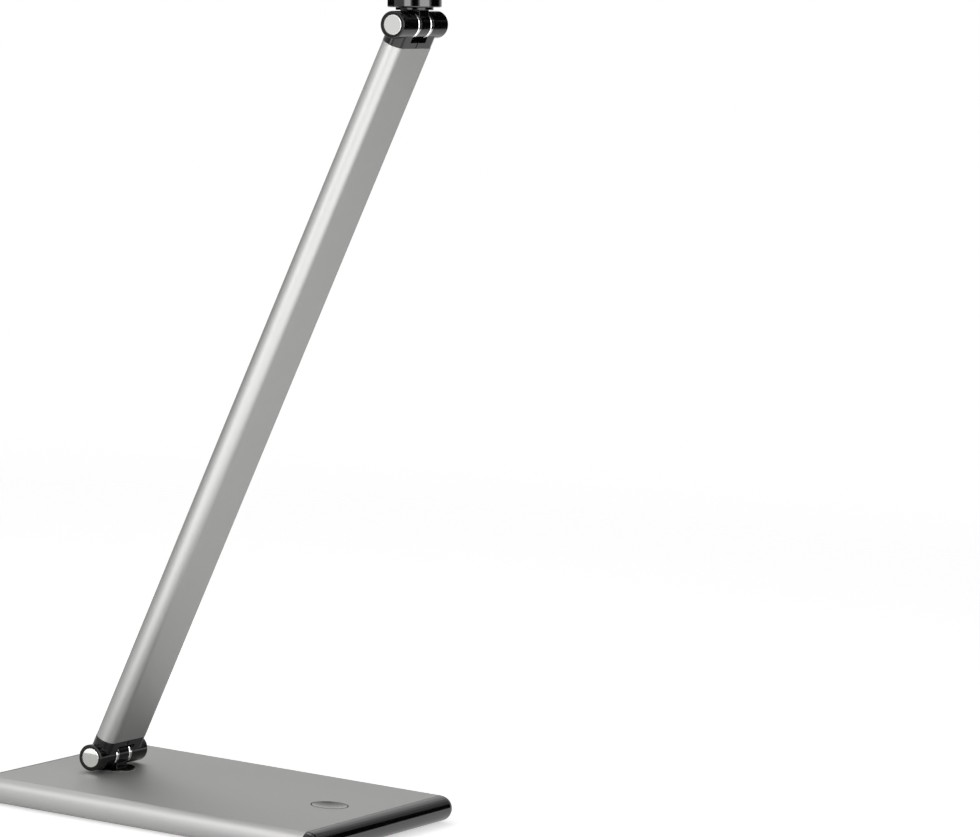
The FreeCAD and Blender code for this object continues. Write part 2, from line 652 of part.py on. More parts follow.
def make_touch_dish():
    """Concave dish in a dark insulating ring, with its foam contact and sensor board below."""
    where = {"x": "dish_x", "z": "base_top"}
    low = "-(dish_thick + dish_lip_thick)"
    turned_body("touch_ring", [
        ("dish_rim_radius - dish_lip", low),
        ("dish_ring_radius + dish_flange", low),
        ("dish_ring_radius + dish_flange", "-base_wall"),
        ("dish_ring_radius", "-base_wall"),
        ("dish_ring_radius", "0"),
        ("dish_rim_radius", "0"),
        ("dish_rim_radius", "-dish_thick"),
        ("dish_rim_radius - dish_lip", "-dish_thick"),
    ], **where)
    blank = doc.addObject("Part::Cylinder", "Dish_blank")
    bind(blank, "Radius", "dish_rim_radius - running_gap")
    bind(blank, "Height", "dish_thick")
    bind(blank, "Placement.Base.z", "-dish_thick")
    # the ball that hollows the dish just reaches its rim
    ball = doc.addObject("Part::Sphere", "Dish_hollow")
    bind(ball, "Radius", "(dish_rim_radius ^ 2 + dish_depth ^ 2) / (2 * dish_depth)")
    bind(ball, "Placement.Base.z",
         "(dish_rim_radius ^ 2 + dish_depth ^ 2) / (2 * dish_depth) - dish_depth")
    dish = doc.addObject("Part::Cut", "Touch_dish")
    dish.Base = blank
    dish.Tool = ball
    dish.Label = "touch_dish"
    place(dish, "dish_x", "0", "base_top")
    finished.append(dish)
    turned_body("touch_contact", tube_profile("0", "contact_radius", "-dish_lip_thick", "0"),
                x="dish_x", z="dish_floor")
    board = new_body("touch_board", x="dish_x", z="sensor_top - board_thick")
    outline = sketch_on(board, "XY_Plane")
    half = "sensor_side / 2"
    rectangle(outline, "-" + half, half, "-" + half, half)
    pad(board, outline, "board_thick")
    chip = sketch_on(board, "XY_Plane")
    half = "sensor_chip / 2"
    rectangle(chip, "-" + half, half, "-" + half, half)
    pad(board, chip, "sensor_chip_high", back=True)


# ---------------------------------------------------------------- swivels
def make_knuckle(name, rise, flange_radius, flange_thick, reach, up, **where):
    """Middle knuckle of a hinge with its round flange and threaded spigot.

    Drawn about the hinge pin; the flange lies above the pin where up is True, else below it.
    """
    sign = "" if up else "-"
    body = new_body(name, **where)
    eye = sketch_on(body, "XZ_Plane")
    circle(eye, "0", "0", "barrel_radius")
    pad(body, eye, "knuckle_wide", both=True)
    neck = sketch_on(body, "XZ_Plane")
    low, high = ("0", rise) if up else ("-" + rise, "0")
    rectangle(neck, "-neck_half", "neck_half", low, high)
    pad(body, neck, "knuckle_wide", both=True)
    flange = sketch_on(body, "XY_Plane", sign + rise)
    circle(flange, "0", "0", flange_radius)
    pad(body, flange, flange_thick, back=up)
    spigot = sketch_on(body, "XY_Plane", sign + rise)
    circle(spigot, "0", "0", "spigot_radius")
    pad(body, spigot, reach, back=not up)
    pin_bore = sketch_on(body, "XZ_Plane")
    circle(pin_bore, "0", "0", "pin_fit")
    pocket(body, pin_bore, "2 * knuckle_wide", both=True)
    lead_way = sketch_on(body, "XY_Plane", "%s(%s + %s)" % (sign, rise, reach))
    circle(lead_way, "0", "0", "lead_bore")
    pocket(body, lead_way, "%s + %s - pin_radius" % (rise, reach), back=not up)
    return body


def make_swivel_stack(prefix, start, down, **where):
    """Thrust washer, dished spring washer and hexagon nut on a swivel's spigot."""
    side = "-(%s)" if down else "(%s)"
    thrust_end = start + " + thrust_thick"
    spring_end = thrust_end + " + dished_high"
    nut_end = spring_end + " + swivel_nut_high"
    thrust = tube_profile("spigot_fit", "thrust_radius", side % start, side % thrust_end)
    turned_body(prefix + "_thrust_washer", thrust, **where)
    turned_body(prefix + "_spring_washer", [
        ("spigot_fit", side % spring_end),
        ("spigot_fit", side % (spring_end + " - dished_thick")),
        ("thrust_radius - slide_thick", side % thrust_end),
        ("thrust_radius - slide_thick", side % (thrust_end + " + dished_thick")),
    ], **where)
    nut_low = side % (nut_end if down else spring_end)
    hexagon = doc.addObject("Part::Prism", prefix + "_hexagon")
    hexagon.Polygon = 6
    bind(hexagon, "Circumradius", "swivel_nut_radius")
    bind(hexagon, "Height", "swivel_nut_high")
    bind(hexagon, "Placement.Base.z", nut_low)
    thread = doc.addObject("Part::Cylinder", prefix + "_thread")
    bind(thread, "Radius", "spigot_fit")
    bind(thread, "Height", "swivel_nut_high")
    bind(thread, "Placement.Base.z", nut_low)
    nut = doc.addObject("Part::Cut", prefix + "_nut")
    nut.Base = hexagon
    nut.Tool = thread
    nut.Label = prefix + "_swivel_nut"
    place(nut, y="0", **where)
    finished.append(nut)


# ---------------------------------------------------------------- barrel hinges
def make_fitting(name, slit_side, **where):
    """Die-cast end fitting of the arm, drawn about the hinge pin with the arm towards +Z.

    Two outer barrels, a collar with the arm's own section, the notch in which the middle
    knuckle and its rings turn, and a forked tongue that fills the arm's inside.
    """
    body = new_body(name, **where)
    barrel = sketch_on(body, "XZ_Plane")
    circle(barrel, "0", "0", "barrel_radius")
    pad(body, barrel, "barrel_span", both=True)
    round_edges(body, "barrel_bevel",
                lambda edge: is_circle_at(edge, number("barrel_radius"), "y", number("barrel_end")),
                bevel=True)
    collar = sketch_on(body, "XY_Plane")
    stadium(collar, "0", "0", "arm_thick", "arm_width", upright=True)
    pad(body, collar, "collar_rise")
    tongue = sketch_on(body, "XY_Plane", "collar_rise")
    inset = " - 2 * (arm_wall + slip_gap)"
    stadium(tongue, "0", "0", "arm_thick" + inset, "arm_width" + inset, upright=True)
    pad(body, tongue, "tongue_length")
    notch = sketch_on(body, "YZ_Plane")
    rectangle(notch, "-ring_out", "ring_out", "-2 * barrel_radius", "notch_rise")
    pocket(body, notch, "4 * barrel_radius", both=True)
    fork = sketch_on(body, "YZ_Plane")
    rectangle(fork, "-tongue_slot_half", "tongue_slot_half", "collar_rise + tongue_root",
              "collar_rise + 2 * tongue_length")
    pocket(body, fork, "4 * barrel_radius", both=True)
    bores = sketch_on(body, "XY_Plane")
    polygon(bores, [
        ("0", "-barrel_span"),
        ("disc_radius + running_gap", "-barrel_span"),
        ("disc_radius + running_gap", "-disc_seat"),
        ("well_radius", "-disc_seat"),
        ("well_radius", "-well_seat"),
        ("pin_fit", "-well_seat"),
        ("pin_fit", "well_seat"),
        ("well_radius", "well_seat"),
        ("well_radius", "disc_seat"),
        ("disc_radius + running_gap", "disc_seat"),
        ("disc_radius + running_gap", "barrel_span"),
        ("0", "barrel_span"),
    ])
    turn(body, bores, cut=True)
    lead_way = sketch_on(body, "XY_Plane", "notch_rise")
    circle(lead_way, "0", "0", "lead_bore")
    pocket(body, lead_way, "collar_rise + tongue_length", back=True)
    slit = sketch_on(body, "YZ_Plane", slit_side + "(arm_thick / 2)")
    rectangle(slit, "-slit_wide / 2", "slit_wide / 2", "notch_rise - slit_wide", "collar_rise")
    pocket(body, slit, "slit_deep", back=slit_side == "-")


def make_hinge_set(prefix, **where):
    """What one hinge bolt carries: rings, disc springs, nut and the bright end discs."""
    bolt = turned_body(prefix + "_hinge_bolt", [
        ("0", "-well_seat - head_high"),
        ("head_radius", "-well_seat - head_high"),
        ("head_radius", "-well_seat"),
        ("pin_radius", "-well_seat"),
        ("pin_radius", "well_seat + spring_stack + hinge_nut_high + spigot_spare"),
        ("0", "well_seat + spring_stack + hinge_nut_high + spigot_spare"),
    ], upright=False, **where)
    socket = sketch_on(bolt, "XZ_Plane", "well_seat + head_high")
    half = "socket_across / 2"
    flat = "socket_across * sqrt(3) / 2"
    polygon(socket, [("socket_across", "0"), (half, flat), ("-" + half, flat),
                     ("-socket_across", "0"), ("-" + half, "-" + flat), (half, "-" + flat)])
    pocket(bolt, socket, "socket_deep")
    ring = [
        ("pin_fit", "knuckle_wide / 2"),
        ("ring_radius - ring_bevel", "knuckle_wide / 2"),
        ("ring_radius", "knuckle_wide / 2 + ring_bevel"),
        ("ring_radius", "ring_out - ring_bevel"),
        ("ring_radius - ring_bevel", "ring_out"),
        ("pin_fit", "ring_out"),
    ]
    rings = turned_body(prefix + "_rings", ring, upright=False, **where)
    mirrored(rings, rings.Tip, "XZ_Plane")
    discs = new_body(prefix + "_end_discs", **where)
    outline = sketch_on(discs, "XY_Plane")
    face = "barrel_end - disc_inset"
    polygon(outline, [
        ("0", "disc_seat"),
        ("disc_radius", "disc_seat"),
        ("disc_radius", face + " - disc_inset / 2"),
        ("disc_radius - disc_inset / 2", face),
        ("0", face),
    ])
    turn(discs, outline)
    mirrored(discs, discs.Tip, "XZ_Plane")
    springs = new_body(prefix + "_disc_springs", **where)
    stack = sketch_on(springs, "XY_Plane")
    middle = "well_seat + spring_thick + spring_cone"
    polygon(stack, [
        ("pin_fit", "well_seat"),
        ("pin_fit", "well_seat + spring_thick"),
        ("spring_radius", middle),
        ("pin_fit", middle + " + spring_cone"),
        ("pin_fit", middle + " + spring_cone + spring_thick"),
        ("spring_radius", middle + " + spring_thick / 2"),
        ("spring_radius + running_gap", middle),
        ("spring_radius", middle + " - spring_thick / 2"),
    ])
    turn(springs, stack)
    nut = new_body(prefix + "_hinge_nut", **where)
    outline = sketch_on(nut, "XZ_Plane", "-(well_seat + spring_stack)")
    half = "hinge_nut_radius / 2"
    flat = "hinge_nut_radius * sqrt(3) / 2"
    polygon(outline, [("hinge_nut_radius", "0"), (half, flat), ("-" + half, flat),
                      ("-hinge_nut_radius", "0"), ("-" + half, "-" + flat), (half, "-" + flat)])
    circle(outline, "0", "0", "pin_fit")
    pad(nut, outline, "hinge_nut_high", back=True)


def make_arm_profile(**where):
    """Flat hollow aluminium profile with half-round narrow sides and square-cut ends."""
    body = new_body("arm_profile", **where)
    section = sketch_on(body, "XY_Plane", "collar_rise")
    stadium(section, "0", "0", "arm_thick", "arm_width", upright=True)
    stadium(section, "0", "0", "arm_thick - 2 * arm_wall", "arm_width - 2 * arm_wall", upright=True)
    pad(body, section, "arm_reach - 2 * collar_rise")
    lead = new_body("arm_lead", **where)
    core = sketch_on(lead, "XY_Plane", "collar_rise")
    circle(core, "0", "0", "lead_radius")
    pad(lead, core, "arm_reach - 2 * collar_rise")


# ---------------------------------------------------------------- light bar
def make_housing(**where):
    """Gloss cup that turns on the elbow's flange and carries the light bar on its rim."""
    body = new_body("swivel_housing", **where)
    shell = sketch_on(body, "XY_Plane", "elbow_rise")
    circle(shell, "0", "0", "housing_radius")
    pad(body, shell, "housing_high")
    rim = number("housing_radius")
    height = number("elbow_rise")
    round_edges(body, "housing_edge", lambda edge: is_circle_at(edge, rim, "z", height))
    hollow = sketch_on(body, "XY_Plane", "housing_top")
    circle(hollow, "0", "0", "housing_radius - housing_wall")
    pocket(body, hollow, "housing_high - housing_floor")
    bore = sketch_on(body, "XY_Plane", "elbow_rise")
    circle(bore, "0", "0", "spigot_fit")
    pocket(body, bore, "housing_floor", back=True)
    bosses = sketch_on(body, "XY_Plane", "housing_top - boss_drop")
    holes = sketch_on(body, "XY_Plane", "housing_top")
    for x, y in boss_centres():
        circle(bosses, x, y, "boss_radius")
        circle(holes, x, y, "boss_hole")
    pad(body, bosses, "boss_drop")
    pocket(body, holes, "boss_drop - housing_wall")
    return body


def boss_centres():
    """Three screws on one circle, the first straight behind the swivel axis."""
    return [("-boss_circle", "0"),
            ("boss_circle / 2", "boss_circle * sqrt(3) / 2"),
            ("boss_circle / 2", "-boss_circle * sqrt(3) / 2")]


def make_bar_screws(**where):
    body = new_body("bar_screws", **where)
    heads = sketch_on(body, "XY_Plane", "bar_floor")
    shanks = sketch_on(body, "XY_Plane", "bar_floor")
    for x, y in boss_centres():
        circle(heads, x, y, "bar_screw_head")
        circle(shanks, x, y, "bar_screw_radius")
    pad(body, heads, "bar_screw_high")
    pad(body, shanks, "bar_screw_reach", back=True)


def make_bar_profile(**where):
    """Hollow aluminium bar with half-round edges, its light window milled in the underside."""
    body = new_body("bar_profile", **where)
    section = sketch_on(body, "YZ_Plane", "-head_back")
    stadium(section, "0", "bar_mid", "head_width", "head_thick")
    stadium(section, "0", "bar_mid", "head_width - 2 * head_wall", "head_thick - 2 * head_wall")
    pad(body, section, "head_length")
    window = sketch_on(body, "XY_Plane", "housing_top")
    rectangle(window, "window_start", "window_start + window_length",
              "-window_width / 2", "window_width / 2")
    pocket(body, window, "head_wall", back=True)
    holes = sketch_on(body, "XY_Plane", "housing_top")
    for x, y in boss_centres():
        circle(holes, x, y, "bar_screw_radius + slip_gap")
    circle(holes, "0", "0", "lead_bore")
    pocket(body, holes, "head_wall", back=True)


def make_light(**where):
    """Light strip under the bar's top wall, folded reflector and stepped opal diffuser."""
    strip = new_body("light_strip", **where)
    board = sketch_on(strip, "XY_Plane", "bar_ceiling")
    rectangle(board, "window_start", "window_start + window_length",
              "-strip_width / 2", "strip_width / 2")
    pad(strip, board, "board_thick", back=True)

    chips = new_body("light_chips", **where)
    first = sketch_on(chips, "XY_Plane", "bar_ceiling - board_thick")
    middle = "window_start + window_length / 2 - (chip_count - 1) * chip_pitch / 2"
    rectangle(first, middle + " - chip_long / 2", middle + " + chip_long / 2",
              "-chip_wide / 2", "chip_wide / 2")
    chip = pad(chips, first, "chip_high", back=True)
    row = chips.newObject("PartDesign::LinearPattern", "light_chips_row")
    row.Originals = [chip]
    row.Direction = (first, ["H_Axis"])
    bind(row, "Length", "(chip_count - 1) * chip_pitch")
    bind(row, "Occurrences", "chip_count")
    chips.Tip = row

    folded = new_body("reflector", **where)
    section = sketch_on(folded, "YZ_Plane", "window_start")
    top = "bar_ceiling - board_thick"
    low = "bar_floor + diffuser_flange"
    half = "window_width / 2"
    polygon(section, [
        ("-" + half, low),
        ("-(%s - reflector_thick)" % half, low),
        ("-reflector_top", top + " - reflector_thick"),
        ("reflector_top", top + " - reflector_thick"),
        (half + " - reflector_thick", low),
        (half, low),
        ("reflector_top + reflector_thick / 2", top),
        ("-(reflector_top + reflector_thick / 2)", top),
    ])
    pad(folded, section, "window_length")
    slot = sketch_on(folded, "XY_Plane", top)
    rectangle(slot, "window_start + chip_pitch / 4", "window_start + window_length - chip_pitch / 4",
              "-reflector_slot", "reflector_slot")
    pocket(folded, slot, "2 * reflector_thick")

    opal = new_body("diffuser", **where)
    pane = sketch_on(opal, "XY_Plane", "housing_top")
    rectangle(pane, "window_start + slip_gap", "window_start + window_length - slip_gap",
              "-(window_width / 2 - slip_gap)", "window_width / 2 - slip_gap")
    pad(opal, pane, "head_wall")
    flange = sketch_on(opal, "XY_Plane", "bar_floor")
    rectangle(flange, "window_start - window_ledge", "window_start + window_length + window_ledge",
              "-(window_width / 2 + window_ledge)", "window_width / 2 + window_ledge")
    pad(opal, flange, "diffuser_flange")


# ---------------------------------------------------------------- assembly
def build_lamp():
    make_base_profile()
    base_cap = {"width": "base_width", "thick": "base_thick", "profile_wall": "base_wall",
                "wall": "cap_wall", "middle": "base_mid"}
    make_end_cap("front_cap", end="base_end", **base_cap)
    make_end_cap("rear_cap", end="-base_end", rear=True, inlet=True, **base_cap)
    make_ballast()
    make_ballast_screws()
    make_anti_slip_pad()
    make_driver()
    make_inlet()
    make_touch_dish()
    turned_body("slide_disc", tube_profile("spigot_fit", "foot_flange_radius", "-slide_thick", "0"),
                x="hinge_x", z="base_top")

    foot = {"x": "hinge_x", "z": "axis_z"}
    make_knuckle("base_knuckle", "hinge_rise", "foot_flange_radius", "foot_flange_thick",
                 "base_wall + swivel_stack", False, **foot)
    make_swivel_stack("base", "hinge_rise + base_wall", True, **foot)

    along_arm = {"x": "hinge_x", "z": "axis_z", "axis": Vector(0, 1, 0), "angle": "arm_lean"}
    from_elbow = {"x": "elbow_x", "z": "elbow_z", "axis": Vector(0, 1, 0), "angle": "arm_lean + 180"}
    make_fitting("lower_fitting", "", **along_arm)
    make_fitting("upper_fitting", "-", **from_elbow)
    make_arm_profile(**along_arm)
    make_hinge_set("lower", **along_arm)
    make_hinge_set("upper", **{**from_elbow, "angle": "arm_lean"})

    elbow = {"x": "elbow_x", "z": "elbow_z", "axis": Vector(0, 1, 0), "angle": "head_lean"}
    make_knuckle("elbow_knuckle", "elbow_rise", "elbow_flange_radius", "elbow_flange_thick",
                 "housing_floor + swivel_stack", True, **elbow)
    make_swivel_stack("head", "elbow_rise + housing_floor", False, **elbow)
    make_housing(**elbow)
    make_bar_screws(**elbow)
    make_bar_profile(**elbow)
    for name, along, rear in (("bar_front_cap", "(head_length - head_back)", False),
                              ("bar_rear_cap", "(-head_back)", True)):
        make_end_cap(name, "head_width", "head_thick", "head_wall", "head_cap_wall",
                     "elbow_z + bar_mid * cos(head_lean) - %s * sin(head_lean)" % along,
                     "elbow_x + bar_mid * sin(head_lean) + %s * cos(head_lean)" % along,
                     lean="head_lean", rear=rear)
    make_light(**elbow)


def check_and_export():
    """Stops on a failed object or an unsound shape, then writes one file for each sub-part."""
    doc.recompute()
    for item in doc.Objects:
        if "Invalid" in item.State or "Error" in item.State:
            raise RuntimeError("%s (%s) failed: %s" % (item.Name, item.Label, item.State))
    for piece in finished:
        if piece.Shape.isNull() or not piece.Shape.isValid():
            raise RuntimeError(piece.Label + ": its shape isn't sound")
    os.makedirs(PARTS_FOLDER, exist_ok=True)
    for piece in finished:
        piece.Shape.exportStep(os.path.join(PARTS_FOLDER, piece.Label + ".step"))
        solids = len(piece.Shape.Solids)
        print("%-20s %3d solid(s) %10.1f mm3" % (piece.Label, solids, piece.Shape.Volume))


counter = doc.addObject("App::FeaturePython", "Counter")
fill_sheet()
build_lamp()
check_and_export()
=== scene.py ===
"""Looks of a desk lamp: satin aluminium profiles, gloss black ends and two barrel hinges.

Metres, in the frame's own axes: +X points from the arm's foot towards the fingertip dish,
+Y lies along the hinge pins and +Z is up.  Sizes written with MM are millimetres.
"""

import json
import math

import bmesh
import bpy
from mathutils import Matrix, Vector

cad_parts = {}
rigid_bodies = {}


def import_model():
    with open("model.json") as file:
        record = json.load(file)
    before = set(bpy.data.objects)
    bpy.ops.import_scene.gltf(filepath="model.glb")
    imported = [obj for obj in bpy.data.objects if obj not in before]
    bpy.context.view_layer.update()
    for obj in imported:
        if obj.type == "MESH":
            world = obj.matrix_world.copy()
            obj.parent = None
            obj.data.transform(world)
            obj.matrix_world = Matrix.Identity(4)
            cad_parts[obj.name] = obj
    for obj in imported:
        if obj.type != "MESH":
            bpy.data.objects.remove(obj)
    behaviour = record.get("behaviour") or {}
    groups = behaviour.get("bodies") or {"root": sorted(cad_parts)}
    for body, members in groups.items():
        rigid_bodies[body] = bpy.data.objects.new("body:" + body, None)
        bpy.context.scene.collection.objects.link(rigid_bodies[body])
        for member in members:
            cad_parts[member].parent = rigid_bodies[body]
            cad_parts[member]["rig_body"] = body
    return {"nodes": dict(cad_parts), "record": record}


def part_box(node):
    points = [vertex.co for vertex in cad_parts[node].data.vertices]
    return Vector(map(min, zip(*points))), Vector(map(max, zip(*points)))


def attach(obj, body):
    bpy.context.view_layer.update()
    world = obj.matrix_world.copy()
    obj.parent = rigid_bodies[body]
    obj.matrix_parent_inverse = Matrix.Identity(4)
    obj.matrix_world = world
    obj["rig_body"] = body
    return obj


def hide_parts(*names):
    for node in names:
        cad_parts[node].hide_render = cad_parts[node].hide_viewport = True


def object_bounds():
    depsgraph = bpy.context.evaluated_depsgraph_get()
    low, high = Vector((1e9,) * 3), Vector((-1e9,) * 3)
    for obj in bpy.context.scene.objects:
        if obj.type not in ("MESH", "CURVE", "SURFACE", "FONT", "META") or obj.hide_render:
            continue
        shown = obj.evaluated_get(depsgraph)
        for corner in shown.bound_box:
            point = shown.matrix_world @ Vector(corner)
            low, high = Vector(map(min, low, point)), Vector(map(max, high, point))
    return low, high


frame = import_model()
cad_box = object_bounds()

MM = 0.001
NODES = frame["nodes"]
SLOT_OF = {part["node"]: part["material_slot"] for part in frame["record"]["subparts"]}
BODY_OF = {node: piece["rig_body"] for node, piece in NODES.items()}
LAMP_MIDDLE = (cad_box[0] + cad_box[1]) / 2

# ---------------------------------------------------------------- sizes of the finish
PROFILE_WALL = 1.6 * MM  # wall of the arm's extrusion
ARC_STEPS = 24  # facets in a quarter of an extrusion's rounded edge
HALF_ROUND = 0.4999  # radius by thickness, a hair under half, so that two fillets never meet
SAWN_EDGE = 0.3 * MM  # broken edge of sawn aluminium
MOULDED_EDGE = 0.25 * MM  # edge radius of moulded and die-cast parts
END_SEAM = 0.35 * MM  # gap between a profile's sawn end and its cap
CAP_EDGE = 0.35 * MM  # edge radius of the end caps
CAP_SHY = 0.06 * MM  # end caps inside the outline of their profile
TURNED_EDGE = 0.12 * MM  # broken edge of turned rings, discs and bolts
BEVEL_STEPS = 3
HEAD_LEAN = math.radians(4)  # the light bar rises towards its tip
HEAD_ALONG = Vector((math.cos(HEAD_LEAN), 0, math.sin(HEAD_LEAN)))
HEAD_UP = Vector((-math.sin(HEAD_LEAN), 0, math.cos(HEAD_LEAN)))
CHIP_COUNT = 30
CHIP_LONG = 3.5 * MM
CHIP_WIDE = 2.8 * MM
CHIP_HIGH = 0.5 * MM  # the chip's block, without its drop of phosphor
CHIP_DOME = 0.2 * MM  # the drop's depth
DOME_ROUND = 0.4  # the drop's radius by the chip's width
DOME_SEGMENTS = 12
DOME_RINGS = 8
BEVEL_FROM = math.radians(32)  # edges sharper than this are softened
SAME_POINT = 0.002 * MM  # corners nearer than this are one corner
SAME_PLACE = 0.02 * MM  # corners this near a sawn end belong to it
SAME_PLANE = math.radians(0.6)  # a fold flatter than this is no edge

# ---------------------------------------------------------------- camera and light
SENSOR_WIDTH = 36.0
LENS = 184.44
CAMERA_AROUND = math.radians(28.902)
CAMERA_ABOVE = math.radians(6.676)
CAMERA_ROLL = math.radians(3.644)
CAMERA_AWAY = 3.117108
CLIP_START = 0.1
PHOTO_MIDDLE = (0.234216, 0.216552)  # right of and above the arm's foot, across the view
AMBIENT = 0.35  # the world as a light on matt surfaces
FLOOR_WHITE = "#F4F4F4"
FLOOR_NEAR = 0.6  # the floor is solid up to here and gone at FLOOR_FAR
FLOOR_FAR = 1.9
FLOOR_LIFT = 0.5  # added to the floor where it is seen as background
BOX_AWAY = 1.7  # softboxes, from the lamp's middle
BOX_DEPTH = 0.05  # the light on matt surfaces sits this far behind the one in reflections
CARD_AWAY = 1.35  # upright cards, from the lamp's middle
CARD_STEPS = 12  # flat pieces in a bent card
SOFTBOXES = (
    # name, bearing, distance and height of its middle, width, height, on matt, in reflections
    ("Box_left", -92, BOX_AWAY, 0.72, 0.9, 1.4, 2.2, 4.3),
    ("Box_right", -17, BOX_AWAY, 0.72, 1.4, 1.4, 2.0, 4.1),
    ("Box_behind_above", 125, 1.0, 1.7, 1.2, 1.2, 1.0, 1.6),
    ("Box_left_above", -130, 1.3, 1.4, 1.2, 1.2, 0.8, 2.0),
)
CARDS = (
    # name, first and last bearing, distance and height of its two edges, tone
    ("Card_black_right", 14, 66, (CARD_AWAY, 0.02), (CARD_AWAY, 1.3), 0.0),
    ("Card_black_high", 60, 125, (CARD_AWAY, 0.92), (CARD_AWAY, 1.5), 0.0),
    ("Card_grey_right", 66, 77, (CARD_AWAY, 0.15), (CARD_AWAY, 0.92), 0.35),
    ("Card_pale_right", 77, 90, (CARD_AWAY, 0.3), (CARD_AWAY, 0.92), 0.6),
    ("Card_black_left", 140, 205, (CARD_AWAY, 0.29), (CARD_AWAY, 0.5), 0.0),
    ("Card_grey_left", 205, 256, (CARD_AWAY, 0.29), (CARD_AWAY, 0.5), 0.74),
    ("Card_black_at_camera", -72, -46, (CARD_AWAY, 0.02), (CARD_AWAY, 0.8), 0.0),
    # the lit floor before the lamp is brighter in the aluminium than the floor elsewhere
    ("Card_bright_floor", -125, 20, (0.2, 0.002), (1.3, 0.002), 2.8),
)


# ---------------------------------------------------------------- node helper and colours
def linear(code):
    """An sRGB hex colour as the linear RGBA that a shader wants."""
    channels = [int(code[i:i + 2], 16) / 255 for i in (1, 3, 5)]
    return [c / 12.92 if c <= 0.04045 else ((c + 0.055) / 1.055) ** 2.4 for c in channels] + [1.0]


def add(tree, kind, inputs=None, **settings):
    """Adds one node: settings are its properties, inputs are values or other nodes' outputs."""
    node = tree.nodes.new(kind)
    for name, value in settings.items():
        setattr(node, name, value)
    for name, value in (inputs or {}).items():
        if isinstance(value, bpy.types.NodeSocket):
            tree.links.new(value, node.inputs[name])
        else:
            node.inputs[name].default_value = value
    return node


# ---------------------------------------------------------------- materials
GRAIN_DETAIL = 3.0
GRAIN_LOW = 0.3  # nearly all of the noise lies between these two
GRAIN_HIGH = 0.7


def surface(name, colour, roughness, grain_mm, relief_mm, swing=0.04, **sockets):
    """A procedural finish: a fine grain sways its roughness and lifts its surface a little."""
    material = bpy.data.materials.new(name)
    material.use_nodes = True
    tree = material.node_tree
    tree.nodes.clear()
    where = add(tree, "ShaderNodeTexCoord")
    grain = add(tree, "ShaderNodeTexNoise", {
        "Vector": where.outputs["Object"],
        "Scale": 1 / (grain_mm * MM),
        "Detail": GRAIN_DETAIL,
    })
    sway = add(tree, "ShaderNodeMapRange", {
        "Value": grain.outputs["Fac"],
        "From Min": GRAIN_LOW,
        "From Max": GRAIN_HIGH,
        "To Min": roughness - swing,
        "To Max": roughness + swing,
    })
    relief = add(tree, "ShaderNodeBump", {
        "Height": grain.outputs["Fac"],
        "Distance": relief_mm * MM,
    })
    shader = add(tree, "ShaderNodeBsdfPrincipled", {
        "Base Color": linear(colour),
        "Roughness": sway.outputs["Result"],
        "Normal": relief.outputs["Normal"],
    })
    for socket, value in sockets.items():
        shader.inputs[socket.replace("_", " ")].default_value = value
    add(tree, "ShaderNodeOutputMaterial", {"Surface": shader.outputs["BSDF"]})
    return material


def satin_aluminium():
    # 6063 extrusion, etched and clear anodised: no drawing lines are left, the sheen is wide
    # and soft, and the oxide layer takes the glare off at a grazing look
    return surface("Aluminium_extruded_satin_anodised", "#A2A2A1", 0.5, 0.9, 0.004,
                   swing=0.02, Metallic=1.0, Specular_Tint=linear("#C8C8C5"))


def turned_aluminium_painted_shade():
    # the dish is turned and anodised: tighter sheen than the etched profile; its colour, far darker
    # than the profile's aluminium, is painted shade for the dish's hollow
    return surface("Aluminium_turned_anodised_painted_shade", "#4C4C4A", 0.2, 0.7, 0.002,
                   swing=0.02, Metallic=1.0)


def gloss_black():
    # polished-mould ABS, deep black, clear reflections with the faintest flow waviness
    return surface("ABS_moulded_gloss_black", "#060606", 0.1, 14, 0.01, swing=0.02, IOR=1.5)


def piano_black():
    # the same ABS, sprayed and polished: two clear layers, so reflections are half as strong again
    return surface("ABS_painted_piano_black", "#060606", 0.1, 14, 0.01, swing=0.02, IOR=1.5,
                   Specular_IOR_Level=0.75)


def black_lacquer():
    # die-cast zinc under gloss lacquer: as black, with a trace of orange peel
    return surface("Zinc_cast_gloss_black_lacquer", "#050505", 0.12, 2.2, 0.004, swing=0.02,
                   IOR=1.5, Specular_IOR_Level=0.35)


def bright_chrome():
    # turned steel rings, nickel and chrome plated and polished
    return surface("Steel_turned_bright_chrome", "#D6D6D4", 0.08, 3, 0.001, swing=0.02, Metallic=1.0)


def satin_chrome():
    # pressed discs, faced and plated: bright, with only a slight softness to reflections
    return surface("Steel_pressed_satin_chrome", "#F0F0ED", 0.06, 0.8, 0.0005,
                   swing=0.01, Metallic=1.0)


def ballast_steel():
    # hot rolled plate, oiled: dark mill scale with broad patches
    return surface("Steel_plate_hot_rolled", "#5E6063", 0.5, 12, 0.05, swing=0.1, Metallic=1.0)


def zinc_steel():
    # cold headed fasteners, zinc plated: pale and a little milky
    return surface("Steel_zinc_plated", "#B4B5AE", 0.32, 0.6, 0.004, Metallic=1.0)


def spring_steel():
    # stamped spring washers, oil blued
    return surface("Steel_spring_blued", "#3C3F47", 0.3, 0.8, 0.004, Metallic=1.0)


def black_rubber():
    # die-cut cellular rubber sheet: open grain, no shine
    return surface("Rubber_sheet_anti_slip", "#1E1E1E", 0.85, 0.8, 0.15, swing=0.08)


def black_plastic():
    # nylon with a fine spark-eroded mould texture
    return surface("Nylon_moulded_fine_texture", "#151516", 0.75, 0.5, 0.03, Specular_IOR_Level=0.15)


def slide_plastic():
    # natural acetal, punched from sheet: waxy off-white
    return surface("Acetal_sheet_natural", "#E4E2D8", 0.4, 1.5, 0.005)


def circuit_board():
    # glass-epoxy laminate under green solder mask, the glass weave just felt
    return surface("Laminate_green_solder_mask", "#1F6B38", 0.35, 0.7, 0.01)


def conductive_foam():
    # carbon-loaded open-cell foam
    return surface("Foam_conductive_open_cell", "#303033", 0.9, 0.6, 0.2)


